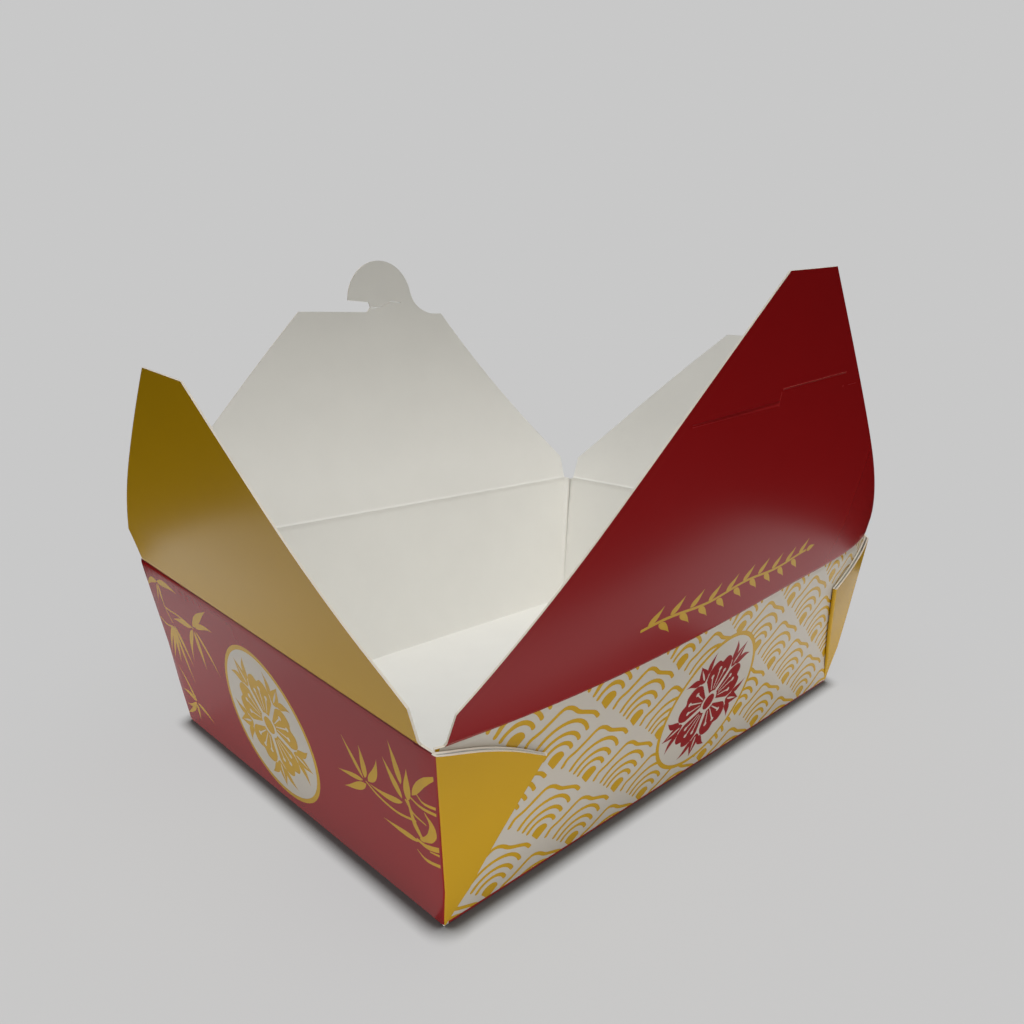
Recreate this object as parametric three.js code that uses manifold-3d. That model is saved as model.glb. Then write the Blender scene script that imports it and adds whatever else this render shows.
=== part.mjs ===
import * as THREE from "three";
import { mergeVertices } from "three/addons/utils/BufferGeometryUtils.js";
import Module from "manifold-3d";

// Noodle takeaway box: one folded blank of printed board, hand-set and open.
// Millimetres, +Z up. Origin at the middle of the base underside, long sides along X.
// The front is the long side at -Y, the left is the short side at -X.

// Board and base
const BOARD = 0.5;
const BASE_LENGTH = 195;
const BASE_WIDTH = 140;

// Rim corners of the flaring tray. Folded by hand, it stands out most at the near corner.
const CORNER = {
  near: [-114.5, -89.0, 58.4],
  right: [105.5, -77.1, 60.0],
  far: [110.4, 77.9, 60.9],
  left: [-106.4, 75.8, 60.3],
};

// The front wall bows outward along its crease and sags a little near its left part
const FRONT_BOW = 5.7;
const FRONT_SAG = 0.8;
const FRONT_SAG_SPAN = 0.65;

// Clear slot along each crease: the wall stops short of the fold line, the flap starts past it
const WALL_STOP = 0.3;
const FLAP_START = 0.4;

// Corner webs, each folded double into a triangle that lies on the outside of a long wall
const WEB_LAYERS = 2;
const WEB_AIR = 0.1;
const WEB_REACH = 0.139; // share of the wall's length
const WEB_TIP_HEIGHT = 0.772; // share of the wall's height
const WEB_START = 0.03; // share of the wall's height where the triangle begins
const WEB_LIFT = { near: 0.25, right: 3.2, far: 0.6, left: 0.6 };

// Flaps. Each is set by its crease, its outline in flat board coordinates (u along the
// crease, s up from it), its lean at set distances from the crease and a twist between ends.
const LEAN_AT = [0, 15, 40, 90];
const TWIST_FULL_AT = 40;
const FLAPS = {
  front: {
    crease: [[-111.8, -89.0, 58.5], [104.2, -77.0, 60.4]],
    lean: [77, 81, 84.5, 82],
    twist: -4,
    neck: { left: [1.1, 6.8], right: [1.3, 7.4] },
    tip: [[94.4, 90.7], [119.6, 92.8]],
    colour: 0x8a2a30,
  },
  right: {
    crease: [[106.9, -74.8, 60.5], [109.9, 77.2, 61.4]],
    lean: [71, 72, 73.5, 66],
    twist: 3,
    neck: { left: [1.4, 14.5], right: [1.5, 11.0] },
    tip: [[64.5, 76.8], [79.7, 77.4]],
    colour: 0xc7bda4,
  },
  back: {
    crease: [[108.4, 80.2, 61.4], [-103.6, 78.9, 61.1]],
    lean: [75.5, 72.5, 77.5, 92],
    twist: 2,
    neck: { left: [0.9, 11.2], right: [1.1, 10.4] },
    tip: [[69.6, 83.6], [142.1, 82.6]],
    colour: 0xcfcabf,
  },
  left: {
    crease: [[-108.2, 73.8, 60.6], [-115.6, -86.4, 58.9]],
    lean: [75, 71.5, 79.5, 84],
    twist: 3,
    neck: { left: [2.6, 11.8], right: [0.6, 8.6] },
    tip: [[69.9, 67.5], [93.0, 65.4]],
    colour: 0xb08a2c,
  },
};

// Cut slot in the front flap, as the two ends of the cut in flat coordinates
const SLOT = { from: [103.2, 62.9], to: [141.6, 65.0], width: 0.8 };

// Mushroom tab past the tip of the back flap: a round head, undercut by a hook on one side and
// running down to the tip in a hollow curve on the other
const TAB_HEAD = { centre: [102.9, 88.0], radius: 16.3, start: -0.02, end: 2.88 };
const TAB_HOOK = [[109.8, 83.2], [108.2, 85.2], [109.0, 87.3]];
const TAB_FOOT = [75.4, 83.5];
const TAB_HOLLOW = [84.6, 84.9];

// Fineness of the surfaces
const FRONT_STEPS = 24;
const SIDE_STEPS = 10;
const FLAP_STEPS = 16;
const LEAN_STEPS = 24;
const EDGE_PARTS = 8;
const ARC_PARTS = 7;
const WEB_ROWS = 9;
const WEB_COLUMNS = [0, 0.08, 0.16, 0.3, 0.5, 0.75, 1];
const WALL_LEVELS = [0, 0.25, 0.5, 0.75, 1];
const FLAP_LEVELS = [0, 4, 9, 15, 22, 30, 40, 52, 64, 78, 92, 106];

// Trimming prisms: the flap's surface runs past its outline by a margin before it is trimmed,
// the outline runs past the fold line, and the prism reaches well past both faces of the board
const TRIM_MARGIN = 2;
const TRIM_BELOW = 6;
const TRIM_DEPTH = 80;
const MID_FLAP = 45;

const wasm = await Module();
wasm.setup();

const vec = (p) => new THREE.Vector3(...p);
const radians = THREE.MathUtils.degToRad;

// Indexed geometry from a list of points and of triangles
function geometryOf(points, triangles) {
  const geometry = new THREE.BufferGeometry();
  const coordinates = points.flatMap((p) => [p.x, p.y, p.z]);
  geometry.setAttribute("position", new THREE.Float32BufferAttribute(coordinates, 3));
  geometry.setIndex(triangles.flat());
  return geometry;
}

function solidOf(geometry) {
  geometry.deleteAttribute("normal");
  geometry.deleteAttribute("uv");
  const merged = mergeVertices(geometry, 1e-4);
  return new wasm.Manifold(new wasm.Mesh({
    numProp: 3,
    vertProperties: new Float32Array(merged.attributes.position.array),
    triVerts: new Uint32Array(merged.index.array),
  }));
}

function geometryFrom(solid) {
  const mesh = solid.getMesh();
  const geometry = new THREE.BufferGeometry();
  geometry.setAttribute("position", new THREE.BufferAttribute(new Float32Array(mesh.vertProperties), 3));
  geometry.setIndex(Array.from(mesh.triVerts));
  geometry.computeVertexNormals();
  return geometry;
}

// Crease frame: length, direction along the fold and level direction out of the tray
function creaseFrame(flap) {
  const [a, b] = flap.crease.map(vec);
  const length = a.distanceTo(b);
  const along = b.clone().sub(a).divideScalar(length);
  const out = new THREE.Vector3(along.y, -along.x, 0).normalize();
  return { a, b, length, along, out };
}

// Point of the fold line at u, with the bow and sag of the front wall
function creasePoint(name, u) {
  const { a, b, length } = creaseFrame(FLAPS[name]);
  const point = a.clone().lerp(b, u / length);
  if (name === "front") {
    const t = THREE.MathUtils.clamp(u / length, 0, 1);
    const power = t < 0.5 ? 3 : 5;
    point.y -= FRONT_BOW * (1 - Math.abs(2 * t - 1) ** power);
    point.z -= FRONT_SAG * Math.sin(Math.PI * Math.min(t / FRONT_SAG_SPAN, 1));
  }
  return point;
}

function leanAt(flap, s) {
  let k = 0;
  while (k < LEAN_AT.length - 2 && s > LEAN_AT[k + 1]) k += 1;
  const f = THREE.MathUtils.clamp((s - LEAN_AT[k]) / (LEAN_AT[k + 1] - LEAN_AT[k]), 0, 1);
  return flap.lean[k] + (flap.lean[k + 1] - flap.lean[k]) * f;
}

// Point of a flap's middle surface at flat coordinates (u, s)
function flapPoint(name, u, s) {
  const flap = FLAPS[name];
  const { length, out } = creaseFrame(flap);
  const step = s / LEAN_STEPS;
  let reach = 0;
  let rise = 0;
  for (let k = 0; k < LEAN_STEPS; k += 1) {
    const at = step * (k + 0.5);
    const turn = flap.twist * (u / length - 0.5) * Math.min(at / TWIST_FULL_AT, 1);
    const lean = radians(leanAt(flap, at) + turn);
    reach += Math.cos(lean) * step;
    rise += Math.sin(lean) * step;
  }
  return creasePoint(name, u).addScaledVector(out, reach).add(new THREE.Vector3(0, 0, rise));
}

// Closed slab between two grids of points that face each other
function slab(outer, inner) {
  const rows = outer.length;
  const columns = outer[0].length;
  const points = [...outer.flat(), ...inner.flat()];
  const o = (i, j) => i * columns + j;
  const n = (i, j) => rows * columns + i * columns + j;
  const triangles = [];
  const quad = (p, q, r, t) => triangles.push([p, q, r], [p, r, t]);
  for (let i = 0; i < rows - 1; i += 1) {
    for (let j = 0; j < columns - 1; j += 1) {
      quad(o(i, j), o(i, j + 1), o(i + 1, j + 1), o(i + 1, j));
      quad(n(i, j), n(i + 1, j), n(i + 1, j + 1), n(i, j + 1));
    }
    quad(o(i, 0), o(i + 1, 0), n(i + 1, 0), n(i, 0));
    quad(o(i, columns - 1), n(i, columns - 1), n(i + 1, columns - 1), o(i + 1, columns - 1));
  }
  for (let j = 0; j < columns - 1; j += 1) {
    quad(o(0, j), n(0, j), n(0, j + 1), o(0, j + 1));
    quad(o(rows - 1, j), o(rows - 1, j + 1), n(rows - 1, j + 1), n(rows - 1, j));
  }
  return geometryOf(points, triangles);
}

// Offsets a grid of middle points to both sides by half the board
function boardFrom(grid) {
  const normals = grid.map((row, i) => row.map((_, j) => {
    const right = row[Math.min(j + 1, row.length - 1)].clone().sub(row[Math.max(j - 1, 0)]);
    const up = grid[Math.min(i + 1, grid.length - 1)][j].clone().sub(grid[Math.max(i - 1, 0)][j]);
    return right.cross(up).normalize();
  }));
  const face = (off) => grid.map((row, i) => row.map((p, j) => (
    p.clone().addScaledVector(normals[i][j], off))));
  return slab(face(BOARD / 2), face(-BOARD / 2));
}

// Tray: rim stations run near, right, far, left, counterclockwise from above
const SIDES = [
  { name: "front", from: "near", to: "right", steps: FRONT_STEPS },
  { name: "right", from: "right", to: "far", steps: SIDE_STEPS },
  { name: "back", from: "far", to: "left", steps: SIDE_STEPS },
  { name: "left", from: "left", to: "near", steps: SIDE_STEPS },
];
const BASE_CORNER = {
  near: [-BASE_LENGTH / 2, -BASE_WIDTH / 2, 0],
  right: [BASE_LENGTH / 2, -BASE_WIDTH / 2, 0],
  far: [BASE_LENGTH / 2, BASE_WIDTH / 2, 0],
  left: [-BASE_LENGTH / 2, BASE_WIDTH / 2, 0],
};

function wallStations(side) {
  const { length } = creaseFrame(FLAPS[side.name]);
  const rim = [vec(CORNER[side.from])];
  for (let k = 0; k <= side.steps; k += 1) rim.push(creasePoint(side.name, (length * k) / side.steps));
  rim.push(vec(CORNER[side.to]));
  const reach = [0];
  rim.slice(1).forEach((p, k) => reach.push(reach[k] + p.distanceTo(rim[k])));
  const total = reach[reach.length - 1];
  return rim.map((top, k) => {
    const foot = vec(BASE_CORNER[side.from]).lerp(vec(BASE_CORNER[side.to]), reach[k] / total);
    const height = top.distanceTo(foot);
    return { foot, top: foot.clone().lerp(top, 1 - WALL_STOP / height), share: reach[k] / total };
  });
}

// Moves a closed plan loop sideways by a distance, mitred at its corners
function offsetLoop(loop, distance) {
  return loop.map((p, i) => {
    const back = p.clone().sub(loop[(i + loop.length - 1) % loop.length]).setZ(0).normalize();
    const ahead = loop[(i + 1) % loop.length].clone().sub(p).setZ(0).normalize();
    const a = new THREE.Vector3(back.y, -back.x, 0);
    const b = new THREE.Vector3(ahead.y, -ahead.x, 0);
    const mitre = a.clone().add(b).divideScalar(1 + a.dot(b));
    return p.clone().addScaledVector(mitre, distance);
  });
}

const stations = SIDES.flatMap((side) => wallStations(side).slice(0, -1));

function trayShell() {
  const level = (v) => stations.map(({ foot, top }) => foot.clone().lerp(top, v));
  const outer = WALL_LEVELS.map((v) => offsetLoop(level(v), BOARD / 2));
  const inner = WALL_LEVELS.map((v, k) => {
    const start = BOARD / stations[0].top.z;
    const loop = offsetLoop(level(k === 0 ? start : v), -BOARD / 2);
    if (k === 0) loop.forEach((p) => p.setZ(BOARD));
    return loop;
  });
  const count = stations.length;
  const middles = [new THREE.Vector3(0, 0, 0), new THREE.Vector3(0, 0, BOARD)];
  const points = [...outer.flat(), ...inner.flat(), ...middles];
  const o = (k, i) => k * count + (i % count);
  const n = (k, i) => (WALL_LEVELS.length + k) * count + (i % count);
  const under = points.length - 2;
  const floor = points.length - 1;
  const last = WALL_LEVELS.length - 1;
  const triangles = [];
  const quad = (p, q, r, t) => triangles.push([p, q, r], [p, r, t]);
  for (let i = 0; i < count; i += 1) {
    for (let k = 0; k < last; k += 1) {
      quad(o(k, i), o(k, i + 1), o(k + 1, i + 1), o(k + 1, i));
      quad(n(k, i), n(k + 1, i), n(k + 1, i + 1), n(k, i + 1));
    }
    quad(o(last, i), o(last, i + 1), n(last, i + 1), n(last, i));
    triangles.push([under, o(0, i + 1), o(0, i)], [floor, n(0, i), n(0, i + 1)]);
  }
  return solidOf(geometryOf(points, triangles));
}

// Point on the outside of a long wall: share runs along it from its near or far corner
function wallPoint(side, share, height, off) {
  const list = wallStations(side);
  let k = 0;
  while (k < list.length - 2 && share > list[k + 1].share) k += 1;
  const f = (share - list[k].share) / (list[k + 1].share - list[k].share);
  const foot = list[k].foot.clone().lerp(list[k + 1].foot, f);
  const top = list[k].top.clone().lerp(list[k + 1].top, f);
  const along = list[k + 1].foot.clone().sub(list[k].foot).normalize();
  const out = along.cross(top.clone().sub(foot)).normalize();
  return foot.lerp(top, height).addScaledVector(out, BOARD / 2 + off);
}

// Folded corner web: a triangle from the wall's end edge to the fold that runs up from the
// base corner, two boards thick, joined to the tray along the end edge and lifted at its tip
function cornerWeb(side, corner) {
  const atStart = side.from === corner;
  const thick = WEB_LAYERS * BOARD + WEB_AIR;
  const columns = WEB_COLUMNS.length;
  const place = (i, j, off) => {
    const r = WEB_START + ((1 - WEB_START) * i) / (WEB_ROWS - 1);
    const c = WEB_COLUMNS[j];
    const share = c * r * WEB_REACH;
    const height = r * (1 + (WEB_TIP_HEIGHT - 1) * c);
    const lift = WEB_LIFT[corner] * c * r;
    return wallPoint(side, atStart ? share : 1 - share, height, off + lift);
  };
  const grid = (off) => Array.from({ length: WEB_ROWS }, (_, i) => Array.from({ length: columns },
    (__, j) => place(i, atStart ? j : columns - 1 - j, off)));
  return solidOf(slab(grid(thick), grid(-BOARD / 2)));
}

function trayGeometry() {
  let tray = trayShell();
  for (const [side, corner] of [[0, "near"], [0, "right"], [2, "far"], [2, "left"]]) {
    tray = tray.add(cornerWeb(SIDES[side], corner));
  }
  return geometryFrom(tray);
}

function tabOutline() {
  const path = new THREE.Path(TAB_HOOK.map((p) => new THREE.Vector2(...p)));
  path.absarc(...TAB_HEAD.centre, TAB_HEAD.radius, TAB_HEAD.start, TAB_HEAD.end);
  path.quadraticCurveTo(...TAB_HOLLOW, ...TAB_FOOT);
  return path.getPoints(ARC_PARTS).map((p) => [p.x, p.y]);
}

// Flat outline of a flap, begun below the fold line so that only the board's own root trims it
function flatOutline(name) {
  const { neck, tip } = FLAPS[name];
  const { length } = creaseFrame(FLAPS[name]);
  const start = neck.left;
  const end = [length - neck.right[0], neck.right[1]];
  const edge = (a, b) => Array.from({ length: EDGE_PARTS }, (_, k) => [
    a[0] + ((b[0] - a[0]) * k) / EDGE_PARTS, a[1] + ((b[1] - a[1]) * k) / EDGE_PARTS]);
  const root = [[start[0], -TRIM_BELOW], [end[0], -TRIM_BELOW]];
  const top = name === "back" ? tabOutline() : [];
  return [...root, ...edge(end, tip[1]), tip[1], ...top, ...edge(tip[0], start), start];
}

// Prism through a flap: the flat outline laid on the flap, then run along its mean normal
function prismThrough(name, outline) {
  const { a, along, out } = creaseFrame(FLAPS[name]);
  const mean = radians(leanAt(FLAPS[name], MID_FLAP));
  const up = out.clone().multiplyScalar(Math.cos(mean)).add(new THREE.Vector3(0, 0, Math.sin(mean)));
  const normal = along.clone().cross(up).normalize();
  const rise = normal.clone().cross(along).normalize();
  const flat = outline.map(([u, s]) => {
    const p = flapPoint(name, u, s).sub(a);
    return new THREE.Vector2(p.dot(along), p.dot(rise));
  });
  const settings = { depth: TRIM_DEPTH, bevelEnabled: false };
  const geometry = new THREE.ExtrudeGeometry(new THREE.Shape(flat), settings);
  geometry.translate(0, 0, -TRIM_DEPTH / 2);
  geometry.applyMatrix4(new THREE.Matrix4().makeBasis(along, rise, normal).setPosition(a));
  return solidOf(geometry);
}

function flapGeometry(name) {
  const { length } = creaseFrame(FLAPS[name]);
  const tips = FLAPS[name].tip.map((p) => p[1]);
  if (name === "back") tips.push(TAB_HEAD.centre[1] + TAB_HEAD.radius);
  const reach = Math.max(...tips) + TRIM_MARGIN;
  const columns = name === "front" ? FRONT_STEPS : FLAP_STEPS;
  const levels = FLAP_LEVELS.filter((s) => s < reach);
  const grid = [...levels, reach].map((s) => Array.from({ length: columns + 1 },
    (_, j) => flapPoint(name, (length * j) / columns, Math.max(s, FLAP_START))));
  let flap = solidOf(boardFrom(grid)).intersect(prismThrough(name, flatOutline(name)));
  if (name === "front") {
    const { from, to, width } = SLOT;
    const slot = [from, to, [to[0], to[1] + width], [from[0], from[1] + width]];
    flap = flap.subtract(prismThrough(name, slot));
  }
  return geometryFrom(flap);
}

const box = new THREE.Group();

function addPiece(name, geometry, colour) {
  const material = new THREE.MeshStandardMaterial({ color: colour, roughness: 0.45, metalness: 0 });
  const mesh = new THREE.Mesh(geometry, material);
  mesh.name = name;
  box.add(mesh);
}

addPiece("tray", trayGeometry(), 0xc9b184);
for (const name of Object.keys(FLAPS)) addPiece(`flap_${name}`, flapGeometry(name), FLAPS[name].colour);

export default box;
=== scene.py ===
"""Looks of an open noodle takeaway box: one blank of printed board, folded and set by hand.

Lengths are millimetres until a mesh is made. The walls and flaps are sheets laid out flat, with
their print as fields of ink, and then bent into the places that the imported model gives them.
"""

import math

import bpy
import numpy as np
from mathutils import Matrix, Vector
from mathutils.geometry import delaunay_2d_cdt


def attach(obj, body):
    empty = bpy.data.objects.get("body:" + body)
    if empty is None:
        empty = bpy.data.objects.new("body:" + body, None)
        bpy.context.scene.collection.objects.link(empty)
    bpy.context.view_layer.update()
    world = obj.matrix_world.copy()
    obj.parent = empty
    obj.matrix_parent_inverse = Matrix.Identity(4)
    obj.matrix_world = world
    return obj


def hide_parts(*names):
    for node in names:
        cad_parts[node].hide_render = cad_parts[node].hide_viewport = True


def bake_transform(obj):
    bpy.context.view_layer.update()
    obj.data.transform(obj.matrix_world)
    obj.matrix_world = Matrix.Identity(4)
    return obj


MM = 0.001

# ------------ driving dimensions

BOARD = 0.5
BASE_LENGTH = 195.0
BASE_WIDTH = 140.0
WALL_HEIGHT = 61.4  # up the slope of a wall
CORNER = {
    "near": (-115.1, -88.1, 58.4),
    "right": (105.1, -76.7, 60.0),
    "far": (110.4, 77.9, 60.9),
    "left": (-105.7, 77.8, 60.0),
}

# The fold line over the front wall bows outward, fuller at its right, and sags near its left part
FRONT_BOW = 5.7
FRONT_BOW_POWER = {"left": 3, "right": 5}
FRONT_SAG = 0.8
FRONT_SAG_SPAN = 0.65  # share of its length

# Corner webs: a triangle folded double on the outside of each end of the long walls. Reach and tip
# are shares of the wall's length and height. The layers stay apart by roll, the fold is lifted off
# the wall, and the outer layer stands open at the corner. Halfway along, the outer layer swells by
# belly and the top edge rises by hump. Near the edge where they meet, the short wall is straight
# over run and the outer layer over free.
WEB_LAYER = BOARD + 0.05
WEBS = {
    "near": {
        "reach": 0.133, "tip": 0.777, "run": 2.0, "free": 2.0,
        "lift": 0.2, "open": 0.1, "roll": 0.1, "belly": 0.2, "hump": 2.1,
    },
    "right": {
        "reach": 0.155, "tip": 0.785, "run": 2.0, "free": 4.5,
        "lift": 0.2, "open": 0.2, "roll": 0.4, "belly": 0.0, "hump": 0.0,
    },
    "far": {
        "reach": 0.139, "tip": 0.772, "run": 6.0, "free": 6.0,
        "lift": 0.4, "open": 0.2, "roll": 0.2, "belly": 0.3, "hump": 0.4,
    },
    "left": {
        "reach": 0.139, "tip": 0.772, "run": 6.0, "free": 6.0,
        "lift": 0.4, "open": 0.2, "roll": 0.2, "belly": 0.3, "hump": 0.3,
    },
}

# Flaps: crease, colour, lean from level at set distances from the crease, twist, and flat outline.
# At its two sides the outline starts a foot's distance from the crease's end, slants in from the
# neck (distance from that end, height), and ends at the tip (distance from the start, height).
LEAN_AT = (0, 15, 40, 90)
TWIST_FULL_AT = 40.0
FLAPS = {
    "front": {
        "crease": ((-111.8, -89.0, 58.5), (104.2, -77.0, 60.4)),
        "colour": "red",
        "lean": (77, 81, 84.5, 82),
        "twist": -4,
        "foot": (-0.2, 1.3),
        "neck": ((1.1, 6.8), (1.3, 7.4)),
        "tip": ((94.4, 90.7), (119.6, 92.8)),
    },
    "right": {
        "crease": ((106.9, -74.8, 60.5), (109.9, 77.2, 61.4)),
        "colour": "gold",
        "lean": (71, 72, 73.5, 66),
        "twist": 3,
        "foot": (1.4, 1.5),
        "neck": ((1.4, 14.5), (1.5, 11.0)),
        "tip": ((64.5, 76.8), (79.7, 77.4)),
    },
    "back": {
        "crease": ((108.4, 80.2, 61.4), (-103.6, 78.9, 61.1)),
        "colour": "red",
        "lean": (75.5, 72.5, 77.5, 92),
        "twist": 2,
        "foot": (0.9, 1.1),
        "neck": ((0.9, 11.2), (1.1, 10.4)),
        "tip": ((69.6, 83.6), (142.1, 82.6)),
    },
    "left": {
        "crease": ((-108.2, 73.8, 60.6), (-115.6, -86.4, 58.9)),
        "colour": "gold",
        "lean": (75, 71.5, 79.5, 84),
        "twist": 3,
        "foot": (2.6, 0.6),
        "neck": ((2.6, 11.8), (0.6, 8.6)),
        "tip": ((69.9, 67.5), (93.0, 65.4)),
    },
}
SIDES = {
    "front": ("near", "right"),
    "right": ("right", "far"),
    "back": ("far", "left"),
    "left": ("left", "near"),
}

# Fold lines: a groove pressed into the outside, with its bead inside
GROOVE_DEPTH = 0.32
GROOVE_WIDTH = {"wall": 1.0, "flap": 0.6}
BEAD_RADIUS = 0.25
BASE_BEND = 0.5
CREASE_SHADE_WIDTH = 0.5  # width of the painted shade in the fold at the top of the short walls: a darker red where the crease lies in shadow

# Corners. Near them a wall ends and its web goes on, from the short (source) to the long (host) wall
WEB_FULL = 0.25  # share of the height above which the webs have their full thickness
WEB_STEP = 1.1  # the short walls run past their corners to the folded webs
WEB_SIGHT = 8.0  # the web takes its direction from the long wall at this distance from the corner
WEB_BEND = {"most": 0.45, "share": 0.3}  # largest bend at the corner, and share of the web's reach
WEB_TURN = 0.9  # distance from the corner at which the inner layer turns back to the wall
CORNER_MARGIN = {"source": 0.4, "host": 1.1}  # distances from the corner at which the walls end

# Camera of the photograph
CAMERA_PLACE = (-197.717, -194.402, 133.325)
CAMERA_YAW = 44.258
CAMERA_PITCH = -12.466
CAMERA_ROLL = 0.352
CAMERA_LENS = 28.0


# ------------ flat shapes


def disc(centre, radius, parts):
    """Points of a circle, counterclockwise."""
    turn = np.linspace(0, 2 * math.pi, parts, endpoint=False)
    return np.c_[centre[0] + radius * np.cos(turn), centre[1] + radius * np.sin(turn)]


def smooth(points, parts):
    """Catmull-Rom curve through the points, with so many parts between each two."""
    p = np.asarray(points, float)
    p = np.vstack([2 * p[0] - p[1], p, 2 * p[-1] - p[-2]])
    t = np.linspace(0, 1, parts, endpoint=False)[:, None]
    runs = []
    for a, b, c, d in zip(p[:-3], p[1:-2], p[2:-1], p[3:]):
        square = 2 * a - 5 * b + 4 * c - d
        cube = 3 * b - a - 3 * c + d
        runs.append(0.5 * (2 * b + (c - a) * t + square * t**2 + cube * t**3))
    return np.vstack([*runs, p[-2:-1]])


def stroke(line, width, cap=4):
    """Outline of a stroke along a line with round ends. Width is one number or one for each point."""
    line = np.asarray(line, float)
    half = np.broadcast_to(np.asarray(width, float) / 2, len(line))
    step = np.gradient(line, axis=0)
    step /= np.linalg.norm(step, axis=1)[:, None]
    side = np.c_[-step[:, 1], step[:, 0]]

    def end(k, sign):
        """The round end at point k, ahead of it for a sign of 1 and behind it for -1."""
        turn = np.linspace(math.pi / 2, -math.pi / 2, cap + 2)[1:-1, None]
        return line[k] + half[k] * (side[k] * np.sin(turn) * sign + step[k] * np.cos(turn) * sign)

    left, right = line + side * half[:, None], line - side * half[:, None]
    return np.vstack([right, end(-1, 1)[::-1], left[::-1], end(0, -1)[::-1]])


def refined(outline, step):
    """The outline with points added so that no edge is longer than step."""
    outline = np.asarray(outline, float)
    points = []
    for a, b in zip(outline, np.roll(outline, -1, axis=0)):
        parts = max(1, math.ceil(np.linalg.norm(b - a) / step))
        points.extend(a + (b - a) * k / parts for k in range(parts))
    return np.array(points)


def unit(v):
    """The vector at length 1."""
    return v / max(np.linalg.norm(v), 1e-9)


# ------------ bent surfaces

PROBE = 0.05  # distance over which a surface's slopes are measured
LEAN_STEPS = 32  # parts of the height over which a flap's lean is summed
RIM_POINTS = 160  # points along a wall's fold line
UP = np.array([0, 0, 1])


def crease_frame(name):
    """Start, unit direction, length and level outward direction of a flap's fold line."""
    a, b = (np.array(p) for p in FLAPS[name]["crease"])
    length = np.linalg.norm(b - a)
    along = (b - a) / length
    out = np.array([along[1], -along[0], 0])
    return a, along, length, out / np.linalg.norm(out)


def crease_points(name, u):
    """Points of the fold line at the distances u from its start."""
    a, along, length, _ = crease_frame(name)
    points = a + along * u[:, None]
    if name == "front":
        t = np.clip(u / length, 0, 1)
        power = np.where(t < 0.5, FRONT_BOW_POWER["left"], FRONT_BOW_POWER["right"])
        points[:, 1] -= FRONT_BOW * (1 - np.abs(2 * t - 1) ** power)
        points[:, 2] -= FRONT_SAG * np.sin(math.pi * np.minimum(t / FRONT_SAG_SPAN, 1))
    return points


def groove(distance, side):
    """Inward push of the board near a fold line, on its wall side or its flap side."""
    return GROOVE_DEPTH * np.exp(-((distance / GROOVE_WIDTH[side]) ** 2))


def with_normals(place, xy, push):
    """Places and unit normals of a surface, pushed inward by push(xy)."""
    xy = np.asarray(xy, float)
    dx, dy = np.array([PROBE, 0]), np.array([0, PROBE])

    def normal(place_at):
        n = np.cross(place_at(xy + dx) - place_at(xy - dx), place_at(xy + dy) - place_at(xy - dy))
        return n / np.linalg.norm(n, axis=1)[:, None]

    flat_normal = normal(place)

    def pushed(at):
        return place(at) - flat_normal * push(at)[:, None]

    return pushed(xy), normal(pushed)


def flap_surface(name):
    """Function from flat points (along the fold, up from it) to places and normals of a flap."""
    _, _, length, out = crease_frame(name)
    flap = FLAPS[name]

    def place(xy):
        u, s = xy[:, 0], xy[:, 1]
        at = s[:, None] * (np.arange(LEAN_STEPS) + 0.5) / LEAN_STEPS
        turn = flap["twist"] * (u / length - 0.5)
        lean = np.interp(at, LEAN_AT, flap["lean"]) + turn[:, None] * np.minimum(at / TWIST_FULL_AT, 1)
        reach = np.cos(np.radians(lean)).mean(axis=1) * s
        rise = np.sin(np.radians(lean)).mean(axis=1) * s
        return crease_points(name, u) + reach[:, None] * out + rise[:, None] * UP

    return lambda xy: with_normals(place, xy, lambda at: groove(at[:, 1], "flap"))


def base_corner(name):
    """Fold corner of the base on the middle of the board."""
    sign = {"near": (-1, -1), "right": (1, -1), "far": (1, 1), "left": (-1, 1)}[name]
    return np.array([sign[0] * BASE_LENGTH / 2, sign[1] * BASE_WIDTH / 2, BOARD / 2])


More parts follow.
